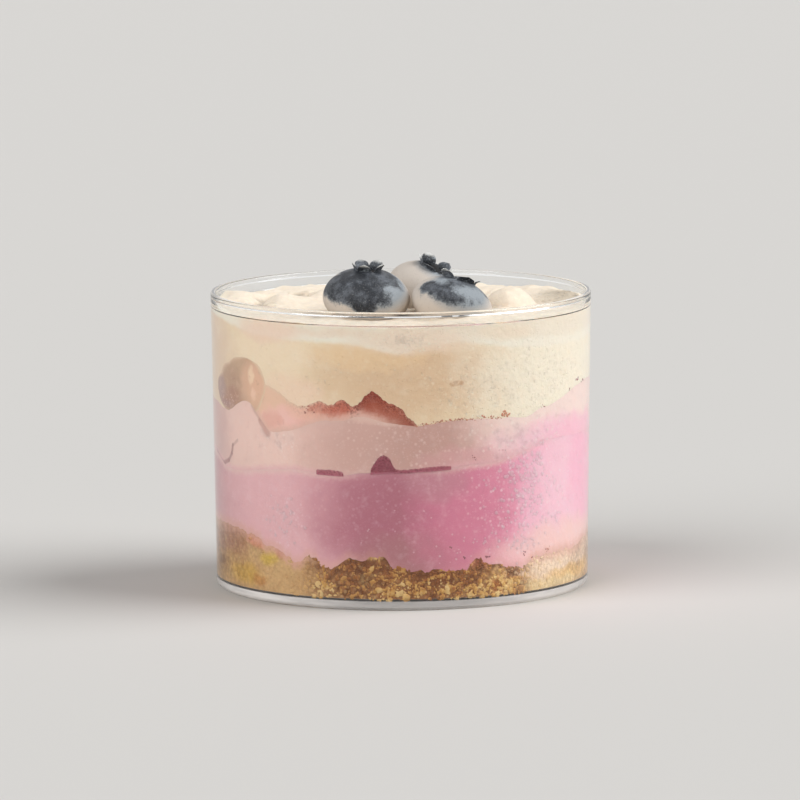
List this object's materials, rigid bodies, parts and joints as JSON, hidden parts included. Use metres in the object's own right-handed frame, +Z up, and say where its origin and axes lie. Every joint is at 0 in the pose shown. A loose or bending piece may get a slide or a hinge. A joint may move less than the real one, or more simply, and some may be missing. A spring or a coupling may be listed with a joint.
{
  "type": "layered mousse dessert in a clear plastic cup",
  "caption": "Clear straight-sided plastic dessert cup filled with biscuit crumb, pink and pale mousse, jam and whipped cream, topped with frosted blueberries.",
  "frame": {"origin": "centre of the cup's underside, where it stands", "axes": "+Z up along the cup's axis, -Y towards the front, +X to the right seen from the front"},
  "size_m": [0.076, 0.076, 0.0671],
  "materials": {
    "cup_plastic": "clear polished rigid plastic, see-through, with a moulded rim band",
    "biscuit": "coarse golden-brown biscuit crumb, matte",
    "pink_mousse": "soft pink mousse, smooth with small air bubbles",
    "berry_jam": "dark berry jam, wet gloss",
    "pale_mousse": "pale pink-beige mousse, smooth",
    "strawberry_jam": "strawberry jam, translucent wet gloss",
    "strawberry": "soft stewed strawberry, dull brownish pink",
    "cream": "whipped cream, soft ivory, slightly bubbly",
    "blueberry": "dark blue-grey skin under a white frosted bloom"
  },
  "bodies": {
    "root": {"cup": "cup_plastic", "biscuit_crumb": "biscuit", "pink_mousse": "pink_mousse", "jam_seam": "berry_jam", "pale_mousse": "pale_mousse", "strawberry_jam": "strawberry_jam", "strawberry_half": "strawberry", "whipped_cream": "cream", "blueberry_left": "blueberry", "blueberry_right": "blueberry", "blueberry_back": "blueberry"}
  },
  "joints": []
}
